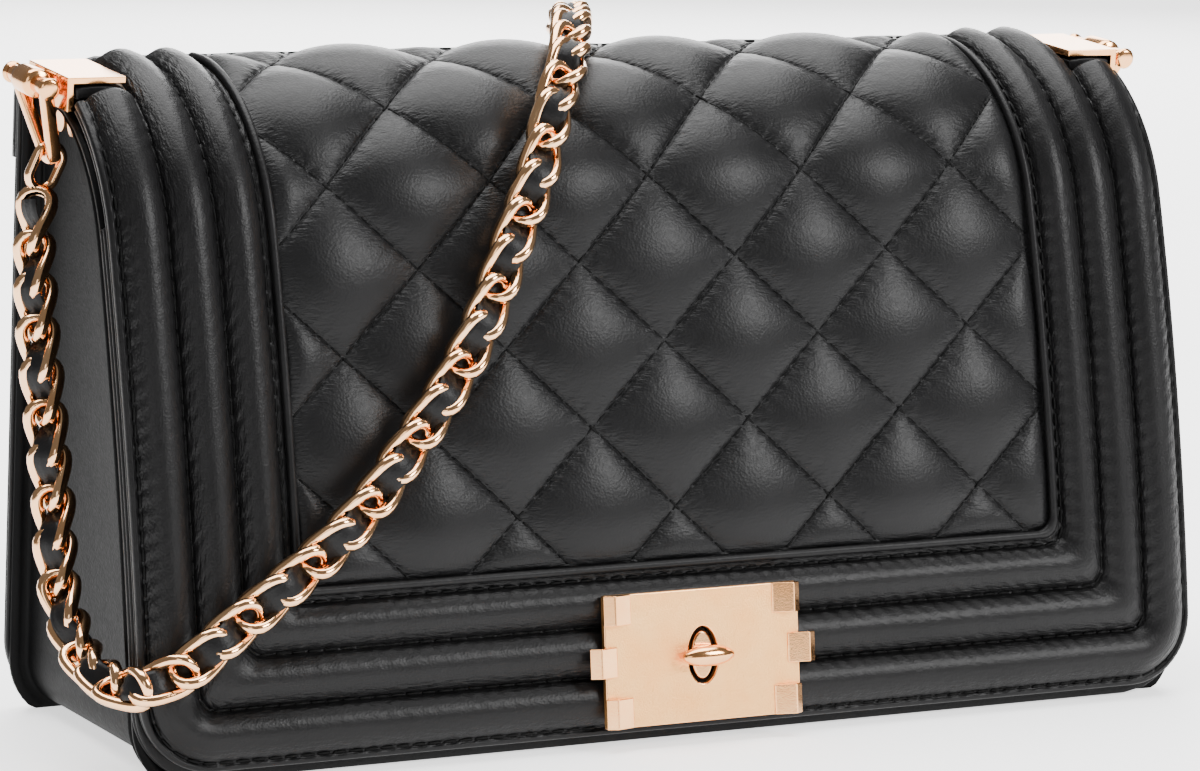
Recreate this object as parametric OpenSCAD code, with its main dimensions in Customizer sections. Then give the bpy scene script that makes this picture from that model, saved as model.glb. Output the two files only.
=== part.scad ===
// Structured flap bag with a chain-and-leather shoulder strap.
// Origin: middle of the base, on the table. +Z up, front towards -Y, width along X. Millimetres.

/* [Body] */
// Width of the front and back panels
body_w = 260; // [200:1:320]
// Depth of the body at the base
body_d = 84; // [60:1:110]
// Height of the body under the flap
body_h = 143; // [115:1:180]
// Thickness of the front and back panels, board and leather together
panel_t = 2.5; // [1.5:0.1:4]
// Thickness of a side gusset
gusset_t = 2; // [1:0.1:3]
// How far each gusset sits inside the panel edges
gusset_inset = 4.5; // [3:0.5:8]
// Radius of the lower corners of the panels and the flap
corner_r = 16; // [6:1:24]
// How far the front panel runs into the top bend
panel_over = 3; // [0:0.5:6]
// Lean of the front at the base, in degrees
lean_low = 5; // [2:0.5:8]
// Lean of the front where the top bend starts, in degrees
lean_high = 15; // [10:0.5:20]
// Radius of the top bend of the front
bend_r = 40.3; // [36:0.1:44]
// Lean of the back, in degrees
back_lean = 4; // [0:0.5:8]
// Thickness of the base panel
base_t = 2.4; // [1.5:0.1:4]
// Thickness of the stiff board that lies on the base
board_t = 2; // [1:0.1:4]

/* [Lining] */
// Thickness of the lining cloth with its backing
lining_t = 0.8; // [0.5:0.1:1.5]
// Distance of the lining's upper edge below the panel edges
lining_drop = 5; // [3:1:12]
// Width of the slip pocket
pocket_w = 130; // [80:5:180]
// Height of the slip pocket
pocket_h = 75; // [50:5:95]
// Space inside the slip pocket
pocket_gap = 5; // [4.5:0.5:8]

/* [Flap] */
// Gap between the body and the flap
flap_gap = 0.5; // [0.4:0.1:1.5]
// Height of the flap's lower edge above the table, along the front
flap_start = 2.5; // [1:0.5:10]
// Thickness of the stiff core of the flap
core_t = 1.4; // [1:0.1:3]
// Thickness of the leather border of the flap
cover_t = 1.2; // [0.8:0.1:2]
// Thickness of the padded quilted panel
quilt_t = 3.7; // [2.5:0.1:6]
// Distance of the hinge line in front of the back edge of the top
hinge_back = 8; // [6:0.5:14]
// Gap between the flap and the hinge strip
hinge_gap = 0.5; // [0.3:0.1:1]
// Length of the hinge strip down the back
strip_drop = 18; // [12:1:30]
// Distance from the hinge line to the padded pieces of the flap
pad_setback = 4; // [3:0.5:8]

/* [Border] */
// Width of the stitched hem outside the ribs
hem_w = 2.6; // [1.5:0.1:4]
// Width of one rib
rib_w = 9.8; // [6:0.1:11]
// Height of a rib above the border leather
rib_h = 3; // [2:0.1:5]
// Width of the valley between two ribs
valley_w = 1.1; // [0.8:0.1:3]
// Width of the piping next to the quilted panel
piping_w = 2; // [1.5:0.1:3]
// Height of the piping above the border leather
piping_h = 2.2; // [1.5:0.1:4]

/* [Lock] */
// Width of the lock plate
plate_w = 48; // [36:1:60]
// Height of the lock plate
plate_h = 29.2; // [24:0.1:36]
// Thickness of the lock plate
plate_t = 1.6; // [1.2:0.1:2.5]
// Height of the lock's centre along the front
lock_len = 18.8; // [18:0.1:30]
// Width of the oval boss of the turn lock
boss_w = 5.4; // [5:0.1:8]
// Height of the oval boss of the turn lock
boss_h = 10.6; // [10:0.1:14]
// Gap around the boss in the lock plate
boss_gap = 1; // [1:0.1:2]
// Length of the toggle
toggle_len = 12.6; // [10.5:0.1:14]
// Width of the toggle
toggle_w = 4.6; // [4:0.1:5.2]
// Radius of the pin that carries the toggle
pin_r = 1.5; // [1.2:0.1:2]
// Side of a square stud on the lock plate
stud_w = 6.6; // [5:0.1:8]
// Height of a stud above the lock plate
stud_h = 1.4; // [1:0.1:2]
// How far the middle studs stick out past the plate
stud_out = 3.6; // [2:0.1:5]

/* [Brackets and rings] */
// Width of a bracket plate over the end of the top
bracket_w = 12.2; // [9:0.1:12.5]
// Length of a bracket plate, front to back
bracket_len = 24; // [20:1:26]
// Place of the front edge of the bracket plates, front to back
bracket_y = -3; // [-6:0.5:-2]
// Thickness of the bracket metal
bracket_t = 1.5; // [1:0.1:2]
// Height of the brackets' front edge above the body
bracket_rise = 2.8; // [2.5:0.1:5]
// Slope of the brackets, rising towards the back, in degrees
bracket_tilt = 4.2; // [2:0.1:5]
// Height of the bracket's outer skirt
skirt_len = 7.4; // [5:0.1:7.5]
// Length of the bracket's leg down the inside of the gusset
leg_len = 16; // [13:1:20]
// Radius of a rivet
rivet_r = 1.5; // [1:0.1:2]
// Radius of the straight bar of a ring
bar_r = 1.9; // [1.2:0.1:2]
// Length of the straight bar of a ring
bar_len = 24; // [22:1:27]
// Height of a ring, from its bar down to its tip
ring_h = 17.5; // [15:0.5:18]
// Radius of the legs of a ring
ring_leg_r = 1.5; // [1.2:0.1:1.6]
// Angle at which the rings hang in towards the gussets
ring_lean = 16; // [10:1:16]
// Clearance of the ring bar in its knuckle
bar_gap = 0.08; // [0.03:0.01:0.1]
// Length of the knuckle that holds the bar
knuckle_len = 9; // [6:1:12]

/* [Strap] */
// Width across the chain and leather strap
strap_d = 8; // [6:0.5:9]

/* [Hidden] */

$fn = 48;
slack = 0.05;          // clearance of rivets and pins in their own holes
big = 400;             // larger than the bag

// Side outline of the body: s runs up the front from the base and then back over the top.
half_w = body_w / 2;
lower_z = body_h - bend_r * (1 - sin(lean_high));
front_r = lower_z / (sin(lean_high) - sin(lean_low));
lower_len = front_r * (lean_high - lean_low) * PI / 180;
lower_y = -body_d / 2 + front_r * (cos(lean_low) - cos(lean_high));
front_panel_len = lower_len + panel_over;
bend_end = lower_len + bend_r * (90 - lean_high) * PI / 180;
top_y = lower_y + bend_r * cos(lean_high);
station_step = 5;      // distance between the corners that the curved outline is drawn with

function lean(s) = s < lower_len ? lean_low + (lean_high - lean_low) * s / lower_len
  : min(90, lean_high + (s - lower_len) / bend_r * 180 / PI);
function outline_y(s) = s < lower_len ? -body_d / 2 + front_r * (cos(lean_low) - cos(lean(s)))
  : lower_y + bend_r * (cos(lean_high) - cos(lean(s))) + max(0, s - bend_end);
function outline_z(s) = s < lower_len ? front_r * (sin(lean(s)) - sin(lean_low))
  : lower_z + bend_r * (sin(lean(s)) - sin(lean_high));
// A point at distance d outside the outline.
function skin(s, d) = [outline_y(s) - d * cos(lean(s)), outline_z(s) + d * sin(lean(s))];
// Places along the outline from s0 to s1. All layers share them, so that they meet without overlap.
function stations(s0, s1) = concat(
  [s0], [for (s = [station_step * ceil(s0 / station_step + 0.1):station_step:s1 - 0.5]) s], [s1]);
// The closed strip between two distances outside the outline.
function strip(s0, s1, d0, d1) = let (places = stations(s0, s1), last = len(places) - 1) concat(
  [for (i = [0:last]) skin(places[i], d0)],
  [for (i = [last:-1:0]) skin(places[i], d1)]);
// A point of the back at height z, at distance d outside it.
function back(z, d) = [body_d / 2 - z * tan(back_lean) + d / cos(back_lean), z];

// Layers of the flap, as distances outside the outline.
lining_d = flap_gap + lining_t;
core_d = lining_d + core_t;
cover_d = core_d + cover_t;
rib_d = cover_d + rib_h;
hinge_y = back(body_h, 0)[0] - hinge_back;
hinge_z = body_h + cover_d;
hinge_s = bend_end + hinge_y - top_y - hinge_gap;
pad_end = hinge_s - pad_setback;
border_w = hem_w + 3 * rib_w + 3 * valley_w + piping_w;
rib_pitch = rib_w + valley_w;
gusset_x = half_w - gusset_inset;
lining_x = gusset_x - gusset_t - 0.2;
lining_z = base_t + board_t + 0.1;

// Turn lock, along the line square to the front at the lock's centre.
hole_w = boss_w + 2 * boss_gap;
hole_h = boss_h + 2 * boss_gap;
plate_d = rib_d + 0.2;
boss_top = plate_d + plate_t - 0.2;
toggle_d = boss_top + 0.4;
recess = 1;            // depth of the turn lock's flange in the front panel
washer_w = plate_w - 8;
washer_h = plate_h - 6;
washer_t = 0.6;

// Brackets and rings.
ring_x = half_w + 4.5;
bracket_top = body_h + bracket_rise;
skirt_out = 1;         // how far the skirt stands outside the panels
ring_mid = 13;         // middle of the ring's bar, behind the bracket's front edge
bar_drop = 2.6;        // middle of the bar below the bracket's top face
notch_gap = 0.8;
notch_x = half_w - bracket_w - notch_gap;
knuckle_r = bar_r + 1.3;
knob_len = 1.6;
knob_out = 0.6;
leg_w = 12;
leg_x = gusset_x - gusset_t - bracket_t - slack;
rivet_step = leg_w / 2 - rivet_r - 1;
rivet_drop = leg_len - rivet_r - 2.5;
link_bend = 2.9;       // radius of the ends of the end link
link_straight = 4;
link_r = 1.1;
link_lean = 24;        // angle at which the end links hang out towards the strap

// Draws a side outline across the bag from x0 to x1.
module across(x0, x1, points) {
  translate([x0, 0, 0]) rotate([90, 0, 90]) linear_extrude(x1 - x0) polygon(points);
}

// Front outline with rounded lower corners, drawn through the whole depth.
module front_shape(half, z0, z1, r) {
  rotate([90, 0, 0]) translate([0, 0, -big / 2]) linear_extrude(big) {
    translate([-half, z0 + r]) square([2 * half, z1 - z0 - r]);
    translate([-half + r, z0]) square([2 * half - 2 * r, r + 1]);
    for (side = [-1, 1]) translate([side * (half - r), z0 + r]) circle(r);
  }
}

// Places its children on the front at the lock's centre: Y is outwards, Z up the front.
module at_lock() {
  translate([0, outline_y(lock_len), outline_z(lock_len)]) rotate([-lean(lock_len), 0, 0]) children();
}

// Slot-shaped block from d0 to d1 outside the front, w wide and h high.
module oval(w, h, d0, d1) {
  translate([0, -d0, 0]) rotate([90, 0, 0]) linear_extrude(d1 - d0) {
    square([w, h - w], center = true);
    for (side = [-1, 1]) translate([0, side * (h - w) / 2]) circle(w / 2);
  }
}

// Flat block on the front, centred on x and z.
module slab(w, h, d0, d1, x = 0, z = 0) {
  translate([x - w / 2, -d1, z - h / 2]) cube([w, d1 - d0, h]);
}

// Box behind the front edge of the brackets, at both ends of the top.
module bracket_notches() {
  for (side = [-1, 1])
    translate([side > 0 ? notch_x : -big, bracket_y - notch_gap, lower_z])
      cube([big - notch_x, big, big]);
}

// A layer of the flap with its rounded corners, bracket notches and lock hole.
module flap_layer(inset, d0, d1, s_end) {
  difference() {
    intersection() {
      across(-half_w + inset, half_w - inset, strip(flap_start + inset, s_end, d0, d1));
      front_shape(half_w - inset, outline_z(flap_start + inset), big, corner_r - min(inset, corner_r - 3));
    }
    bracket_notches();
    at_lock() oval(hole_w, hole_h, 0, rib_d + 5);
  }
}

// One band of the border: a U of width w that starts at this distance from the flap's edge.
module border_band(inset, w, d0, d1) {
  inner = inset + w;
  difference() {
    flap_layer(inset, d0, d1, pad_end);
    intersection() {
      across(-half_w + inner, half_w - inner, strip(flap_start + inner, hinge_s + 5, d0 - 1, d1 + 1));
      front_shape(half_w - inner, outline_z(flap_start + inner), big, max(2, corner_r - inner));
    }
  }
}

module front_panel() {
  color("#1b1b1d") difference() {
    intersection() {
      across(-half_w, half_w, strip(-3, front_panel_len, -panel_t, 0));
      front_shape(half_w, 0, big, corner_r);
    }
    at_lock() {
      oval(hole_w + 6, hole_h + 6, -recess, 1);
      for (side = [-1, 1])
        translate([0, 5, side * (boss_h / 2 + 1.5)]) rotate([90, 0, 0]) cylinder(h = 10, r = 1 + slack);
    }
  }
}

module back_panel() {
  color("#1b1b1d") intersection() {
    across(-half_w, half_w, [back(0, -panel_t), back(body_h, -panel_t), back(body_h, 0), back(0, 0)]);
    front_shape(half_w, 0, big, corner_r);
  }
}

// Side outline between the two panels, this far inside them.
function gusset_outline(inside) = concat(
  [for (s = stations(0, bend_end)) skin(s, -inside)],
  [back(body_h - inside, -inside), back(-1, -inside)]);

// Band that runs down one side, round the lower corners and up the other side.
module gusset_band(half, z0, r, t, inside) {
  intersection() {
    difference() {
      front_shape(half, z0, big, r);
      front_shape(half - t, z0 + t, big + 1, r - t);
    }
    across(-half, half, gusset_outline(inside));
  }
}

// One side of the band, with its lower corner.
module gusset(side) {
  color("#202022") difference() {
    intersection() {
      gusset_band(gusset_x, 0, corner_r, gusset_t, panel_t);
      translate([side > 0 ? gusset_x - corner_r : -big, -big / 2, 0])
        cube([big - gusset_x + corner_r, big, big]);
    }
    rivet_places(side) cylinder(h = 12, r = rivet_r + slack, center = true);
  }
}

module left_gusset() gusset(-1);

module right_gusset() gusset(1);

module base_panel() {
  half = gusset_x - corner_r;
  color("#1b1b1d") translate([-half, -body_d / 2 + panel_t + 0.3, 0])
    cube([2 * half, body_d - 2 * panel_t - 0.6, base_t]);
}

module base_board() {
  half = gusset_x - corner_r + 2;
  edge = panel_t + lining_t + 1.2;
  color("#6b5a45") translate([-half, -body_d / 2 + edge, base_t])
    cube([2 * half, body_d - 2 * edge, board_t]);
}

// Shape of the space inside the lining, seen from the front.
module lining_shape() {
  front_shape(lining_x - lining_t - 0.1, lining_z + lining_t + 0.1, big, corner_r - gusset_t - lining_t);
}

module lining_front() {
  color("#3a3a3e") difference() {
    intersection() {
      across(-half_w, half_w, strip(-3, front_panel_len - lining_drop, -panel_t - lining_t, -panel_t));
      lining_shape();
    }
    at_lock() slab(hole_w + 12, hole_h + 12, -panel_t - 6, -panel_t + 1);
  }
}

module lining_back() {
  top = body_h - lining_drop;
  color("#3a3a3e") intersection() {
    across(-half_w, half_w, [back(0, -panel_t - lining_t), back(top, -panel_t - lining_t),
      back(top, -panel_t), back(0, -panel_t)]);
    lining_shape();
  }
}

// Lining of both sides and the floor, over the base board.
module lining_gusset() {
  color("#3a3a3e") intersection() {
    gusset_band(lining_x, lining_z, corner_r - gusset_t, lining_t, panel_t + lining_t + 0.2);
    translate([-big / 2, -big / 2, 0]) cube([big, big, lower_z + lining_drop]);
  }
}

// Patch pocket on the back lining: a front sheet with both sides and a bottom folded back.
module slip_pocket() {
  wall = lining_t;
  face = -panel_t - lining_t;
  z0 = body_h - lining_drop - pocket_h - 12;
  color("#46464b") difference() {
    across(-pocket_w / 2, pocket_w / 2, [back(z0, face - pocket_gap - wall),
      back(z0 + pocket_h, face - pocket_gap - wall), back(z0 + pocket_h, face), back(z0, face)]);
    across(-pocket_w / 2 + wall, pocket_w / 2 - wall, [back(z0 + wall, face - pocket_gap),
      back(z0 + pocket_h + 1, face - pocket_gap), back(z0 + pocket_h + 1, face + 1),
      back(z0 + wall, face + 1)]);
  }
}

// Leather over the back edge of the top, which the flap bends from.
module hinge_strip() {
  wrap_t = 2.2;
  round_r = 7;
  z_low = body_h - strip_drop;
  centre = [back(hinge_z - round_r, wrap_t)[0] - round_r / cos(back_lean), hinge_z - round_r];
  arc = [for (i = [0:8]) let (a = 90 - (90 - back_lean) * i / 8) centre + round_r * [cos(a), sin(a)]];
  color("#1b1b1d") across(-half_w, half_w, concat(
    [[hinge_y, body_h], [hinge_y, hinge_z]], arc,
    [back(z_low, wrap_t), back(z_low, 0), back(body_h, 0)]));
}

// Frame of one bracket: Y runs back from its front edge, Z is up from its top face.
module at_bracket(side) {
  mirror([side > 0 ? 0 : 1, 0, 0])
    translate([0, bracket_y, bracket_top]) rotate([bracket_tilt, 0, 0]) children();
}

// The two rivets of one bracket, along X from the gusset's outer face.
module rivet_places(side) {
  at_bracket(side) for (step = [-1, 1])
    translate([gusset_x, ring_mid + step * rivet_step, -rivet_drop]) rotate([0, 90, 0]) children();
}

// Plate over the end of the top, outer skirt with the ring's knuckle, and a leg inside the gusset.
module bracket(side) {
  color("#e2b88f") difference() {
    at_bracket(side) {
      translate([half_w - bracket_w, 0, -bracket_t]) cube([bracket_w + skirt_out, bracket_len, bracket_t]);
      translate([half_w + skirt_out - bracket_t, 0, -skirt_len]) cube([bracket_t, bracket_len, skirt_len]);
      translate([leg_x, ring_mid - leg_w / 2, -leg_len]) cube([bracket_t, leg_w, leg_len - bracket_t / 2]);
      translate([half_w, ring_mid - knuckle_len / 2, -bar_drop - 1]) cube([ring_x - half_w, knuckle_len, 2]);
      translate([ring_x, ring_mid + knuckle_len / 2, -bar_drop])
        rotate([90, 0, 0]) cylinder(h = knuckle_len, r = knuckle_r);
    }
    at_bracket(side) translate([ring_x, ring_mid + bar_len, -bar_drop])
      rotate([90, 0, 0]) cylinder(h = 2 * bar_len, r = bar_r + bar_gap);
    rivet_places(side) cylinder(h = 12, r = rivet_r + slack, center = true);
  }
}

module bracket_left() bracket(-1);

module bracket_right() bracket(1);

// Four rivets, each with a head outside the gusset and a head inside the bracket's leg.
module bracket_rivets() {
  head_t = 0.8;
  inner = leg_x - gusset_x - slack;
  color("#cfa27c") for (side = [-1, 1]) rivet_places(side) {
    translate([0, 0, inner - head_t / 2]) cylinder(h = head_t - inner, r = rivet_r);
    translate([0, 0, slack]) cylinder(h = head_t, r = rivet_r + 1);
    translate([0, 0, inner - head_t]) cylinder(h = head_t, r = rivet_r + 1);
  }
}

// Flange in the front panel, oval boss through the flap, two rivet pegs behind.
module turnlock_base() {
  color("#d9ad84") at_lock() difference() {
    union() {
      oval(hole_w + 5, hole_h + 5, -recess, 0);
      oval(boss_w, boss_h, -recess, boss_top);
      for (side = [-1, 1]) translate([0, panel_t + 1.2, side * (boss_h / 2 + 1.5)])
        rotate([90, 0, 0]) cylinder(h = panel_t + 1.2 - recess + 0.5, r = 1);
    }
    translate([0, 4, 0]) rotate([90, 0, 0]) cylinder(h = 30, r = pin_r + slack);
  }
}

// Washer plate inside the body that the turn lock's pegs are riveted over.
module turnlock_backplate() {
  color("#b9b3a8") at_lock() difference() {
    slab(hole_w + 8, hole_h + 8, -panel_t - 0.9, -panel_t - 0.1);
    for (side = [-1, 1])
      translate([0, 8, side * (boss_h / 2 + 1.5)]) rotate([90, 0, 0]) cylinder(h = 10, r = 1 + slack);
  }
}

// Rounded toggle on a pin that turns in the boss.
module turnlock_toggle() {
  core_len = toggle_len - toggle_w;
  color("#e8c29b") at_lock() {
    translate([0, recess - 0.5, 0]) rotate([90, 0, 0]) cylinder(h = toggle_d + recess + 0.5, r = pin_r);
    translate([-core_len / 2, -toggle_d - toggle_w / 2, 0])
      rotate([0, 90, 0]) cylinder(h = core_len, r = toggle_w / 2);
    for (side = [-1, 1]) translate([side * core_len / 2, -toggle_d - toggle_w / 2, 0]) sphere(toggle_w / 2);
  }
}

// Frame of a ring: the middle of its bar, with the ring hanging in towards the gusset.
module at_ring(side) {
  at_bracket(side) translate([ring_x, ring_mid, -bar_drop]) rotate([0, ring_lean, 0]) children();
}

// Ring with a straight bar, knobs on the bar's ends, and two legs that meet at a rounded tip.
module d_ring(side) {
  tip_half = 2.5;
  foot = bar_len / 2 - knob_len - ring_leg_r;
  reach = foot - tip_half;
  leg = sqrt(ring_h * ring_h + reach * reach);
  tilt = atan2(reach, ring_h);
  color("#e8c29b") at_ring(side) {
    translate([0, (bar_len - knob_len) / 2, 0])
      rotate([90, 0, 0]) cylinder(h = bar_len - knob_len, r = bar_r);
    for (end = [-1, 1]) {
      translate([0, end * (bar_len - knob_len) / 2, 0])
        rotate([90, 0, 0]) cylinder(h = knob_len, r = bar_r + knob_out, center = true);
      translate([0, end * tip_half, -ring_h]) rotate([-end * tilt, 0, 0]) cylinder(h = leg, r = ring_leg_r);
      translate([0, end * tip_half, -ring_h]) sphere(ring_leg_r + 0.1);
    }
    translate([0, tip_half, -ring_h]) rotate([90, 0, 0]) cylinder(h = 2 * tip_half, r = ring_leg_r);
  }
}

module d_ring_left() d_ring(-1);

module d_ring_right() d_ring(1);

// Long link that hangs in the tip of a ring.
module end_link(side) {
  low = -link_straight;
  color("#e8c29b") at_ring(side) translate([0, 0, -ring_h]) rotate([0, -ring_lean - link_lean, 0])
    translate([0, 0, ring_leg_r - link_bend + link_r + 0.05]) {
      for (end = [-1, 1]) translate([end * link_bend, 0, low]) cylinder(h = link_straight, r = link_r);
      rotate([90, 0, 0]) rotate_extrude(angle = 180) translate([link_bend, 0]) circle(link_r);
      translate([0, 0, low]) rotate([90, 180, 0])
        rotate_extrude(angle = 180) translate([link_bend, 0]) circle(link_r);
    }
}

module end_link_left() end_link(-1);

module end_link_right() end_link(1);

module flap_lining() {
  color("#2a2a2d") flap_layer(hem_w, flap_gap, lining_d, hinge_s);
}

module flap_core() {
  color("#6b5a45") difference() {
    flap_layer(hem_w, lining_d, core_d, hinge_s);
    at_lock() slab(washer_w + 4 * slack, washer_h + 4 * slack, 0, lining_d + washer_t + 3 * slack);
  }
}

// Leather border around three sides, with the opening for the quilted panel.
module border_panel() {
  color("#1b1b1d") difference() {
    flap_layer(0, core_d, cover_d, hinge_s);
    across(-half_w + border_w, half_w - border_w,
      strip(flap_start + border_w, hinge_s + 5, core_d - 1, cover_d + 1));
  }
}

module quilted_panel() {
  color("#242427") across(-half_w + border_w, half_w - border_w,
    strip(flap_start + border_w, pad_end, core_d, core_d + quilt_t));
}

module inner_piping() {
  color("#101012") border_band(border_w - piping_w, piping_w, cover_d, cover_d + piping_h);
}

module rib(i) {
  color("#202023") border_band(hem_w + i * rib_pitch, rib_w, cover_d, rib_d);
}

module rib_outer() rib(0);

module rib_middle() rib(1);

module rib_inner() rib(2);

module lock_plate() {
  color("#e2b38a") at_lock() difference() {
    slab(plate_w, plate_h, plate_d, plate_d + plate_t);
    oval(hole_w, hole_h, 0, rib_d + 8);
  }
}

// Square studs: four flush with the corners, two sticking out past the sides.
module lock_studs() {
  face = plate_d + plate_t;
  color("#e8c29b") at_lock() for (side = [-1, 1]) {
    for (level = [-1, 1])
      slab(stud_w, stud_w, face, face + stud_h,
        side * (plate_w - stud_w) / 2, level * (plate_h - stud_w) / 2);
    slab(stud_w, stud_w, face, face + stud_h, side * ((plate_w - stud_w) / 2 + stud_out), 0);
  }
}

// Washer plate let into the flap's core behind the lock plate.
module lock_back_washer() {
  color("#b9b3a8") at_lock() difference() {
    slab(washer_w, washer_h, lining_d + slack, lining_d + slack + washer_t);
    oval(hole_w, hole_h, 0, core_d + 5);
  }
}

// Strap routes, hand laid round a bag of route_size, and stretched with the bag.
route_size = [260, 84, 143];
route_end = 118;       // height of the strap's ends on that bag
front_route = [[-133.8, 11, 118], [-135, 9, 109], [-136, 4, 93], [-136, -1, 73], [-136, -6, 53],
  [-137, -12, 38], [-137, -21, 29], [-137, -36, 24], [-134.5, -49, 23.5], [-125, -54.5, 27],
  [-112, -53.5, 35.5], [-98, -52, 44.5], [-85, -50, 54], [-72, -47, 67], [-60, -44, 81], [-50, -41, 96],
  [-42, -37, 111], [-34, -32, 125], [-26, -24, 139], [-16, -10, 150], [-8, 6, 155], [0, 22, 155.5]];
back_route = [[0, 22, 155.5], [5, 35, 152], [9, 44, 142], [12, 48, 122], [14, 50, 95], [15, 52, 65],
  [14, 54, 35], [8, 59, 12], [-8, 62, 4.5], [-35, 63, 4.5], [-62, 64, 4.5], [-78, 71, 4.5],
  [-78, 86, 4.5], [-62, 93, 4.5], [-30, 94, 4.5], [10, 94, 4.5], [50, 93, 4.5], [90, 88, 4.5],
  [120, 76, 4.5], [138, 56, 7], [142, 34, 18], [140, 20, 42], [137.5, 12, 72], [135.5, 10, 98],
  [133.8, 11, 118]];
grown = [body_w, body_d, body_h] - route_size;
// Moves a route point outwards with the side, front or back, and up with the body.
function fitted(p) = [
  p[0] * (1 + grown[0] / (2 * ring_x - grown[0])),
  p[1] * (1 + (abs(p[1]) > 25 ? grown[1] / route_size[1] : 0)),
  p[2] + grown[2] * min(1, max(0, p[2] - 10) / (route_end - 10))];

function unit(v) = v / norm(v);
function along(route, i) = unit(route[min(i + 1, len(route) - 1)] - route[max(i - 1, 0)]);
// A point between two route points, on a smooth curve through all of them.
function between(route, i, t) = let (
    a = route[max(i - 1, 0)], b = route[i], c = route[i + 1], e = route[min(i + 2, len(route) - 1)])
  0.5 * (2 * b + (c - a) * t + (2 * a - 5 * b + 4 * c - e) * t * t + (3 * b - a - 3 * c + e) * t * t * t);
function smooth(laid) = let (route = [for (p = laid) fitted(p)]) concat(
  [for (i = [0:len(route) - 2], t = [0, 0.5]) between(route, i, t)], [route[len(route) - 1]]);
// Sideways direction carried from ring to ring, so that the tube does not twist.
function sideways(points, i) = i == 0 ? unit(cross(along(points, 0), [0.3, 1, 0.2]))
  : let (u = sideways(points, i - 1), t = along(points, i)) unit(u - (u * t) * t);

module tube(route, d) {
  points = smooth(route);
  sides = 10;
  rings = len(points);
  sideway = [for (i = [0:rings - 1]) sideways(points, i)];
  skin_points = [for (i = [0:rings - 1], k = [0:sides - 1]) let (
      u = sideway[i], v = cross(along(points, i), u), a = 360 * k / sides)
    points[i] + d / 2 * (cos(a) * u + sin(a) * v)];
  walls = [for (i = [0:rings - 2], k = [0:sides - 1]) let (next = (k + 1) % sides)
    each [[i * sides + k, (i + 1) * sides + k, i * sides + next],
      [i * sides + next, (i + 1) * sides + k, (i + 1) * sides + next]]];
  first = [for (k = [0:sides - 1]) k];
  last = [for (k = [sides - 1:-1:0]) (rings - 1) * sides + k];
  polyhedron(skin_points, concat(walls, [first], [last]));
}

module strap_front() {
  color("#e8c29b") tube(front_route, strap_d);
}

module strap_back() {
  color("#e8c29b") tube(back_route, strap_d);
}

front_panel();
back_panel();
left_gusset();
right_gusset();
base_panel();
base_board();
lining_front();
lining_back();
lining_gusset();
slip_pocket();
hinge_strip();
bracket_left();
bracket_right();
bracket_rivets();
turnlock_base();
turnlock_backplate();
turnlock_toggle();
d_ring_left();
d_ring_right();
end_link_left();
end_link_right();
flap_lining();
flap_core();
border_panel();
quilted_panel();
inner_piping();
rib_outer();
rib_middle();
rib_inner();
lock_plate();
lock_studs();
lock_back_washer();
strap_front();
strap_back();
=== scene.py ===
"""Structured flap bag with a chain and leather strap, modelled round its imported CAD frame."""

import math

import bpy
import numpy as np
from mathutils import Matrix, Vector


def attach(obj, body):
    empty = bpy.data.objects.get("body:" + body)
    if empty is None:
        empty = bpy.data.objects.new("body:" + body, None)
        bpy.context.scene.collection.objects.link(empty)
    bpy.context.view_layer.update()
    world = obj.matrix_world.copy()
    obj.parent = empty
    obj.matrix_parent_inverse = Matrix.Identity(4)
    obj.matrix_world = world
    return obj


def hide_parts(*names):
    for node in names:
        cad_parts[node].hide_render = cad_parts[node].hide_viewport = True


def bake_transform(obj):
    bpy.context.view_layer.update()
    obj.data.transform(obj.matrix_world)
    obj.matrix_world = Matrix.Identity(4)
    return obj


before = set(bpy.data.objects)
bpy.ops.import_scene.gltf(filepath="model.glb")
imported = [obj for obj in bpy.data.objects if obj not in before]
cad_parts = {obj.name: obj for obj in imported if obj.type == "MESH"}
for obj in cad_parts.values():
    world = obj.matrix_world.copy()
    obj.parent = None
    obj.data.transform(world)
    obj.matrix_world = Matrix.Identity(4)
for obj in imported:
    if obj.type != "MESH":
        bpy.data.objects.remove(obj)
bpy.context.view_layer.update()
random = np.random.default_rng(7)

# All sizes below are in millimetres, and MM turns them into metres when a mesh is made.
MM = 0.001
HALF_W = 130.0
BODY_D = 84.0
BODY_H = 143.0
CORNER_R = 16.0
FLAP_START = 2.5
LEAN_LOW, LEAN_HIGH = math.radians(5), math.radians(15)
BACK_LEAN = math.radians(4)
BEND_R = 40.3
LOWER_Z = BODY_H - BEND_R * (1 - math.sin(LEAN_HIGH))
FRONT_R = LOWER_Z / (math.sin(LEAN_HIGH) - math.sin(LEAN_LOW))
LOWER_LEN = FRONT_R * (LEAN_HIGH - LEAN_LOW)
LOWER_Y = -BODY_D / 2 + FRONT_R * (math.cos(LEAN_LOW) - math.cos(LEAN_HIGH))
BEND_END = LOWER_LEN + BEND_R * (math.pi / 2 - LEAN_HIGH)
HINGE_Z = 146.9
COVER_D = 3.9          # how far the flap's leather lies outside the side outline
PAD_END = 170.4        # where the padding ends, just in front of the hinge


# ---------------------------------------------------------------- shared geometry
def lean(s):
    """Lean of the front at each length s up the outline."""
    s = np.asarray(s, float)
    low = LEAN_LOW + (LEAN_HIGH - LEAN_LOW) * s / LOWER_LEN
    high = np.minimum(math.pi / 2, LEAN_HIGH + (s - LOWER_LEN) / BEND_R)
    return np.where(s < LOWER_LEN, low, high)


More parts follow.
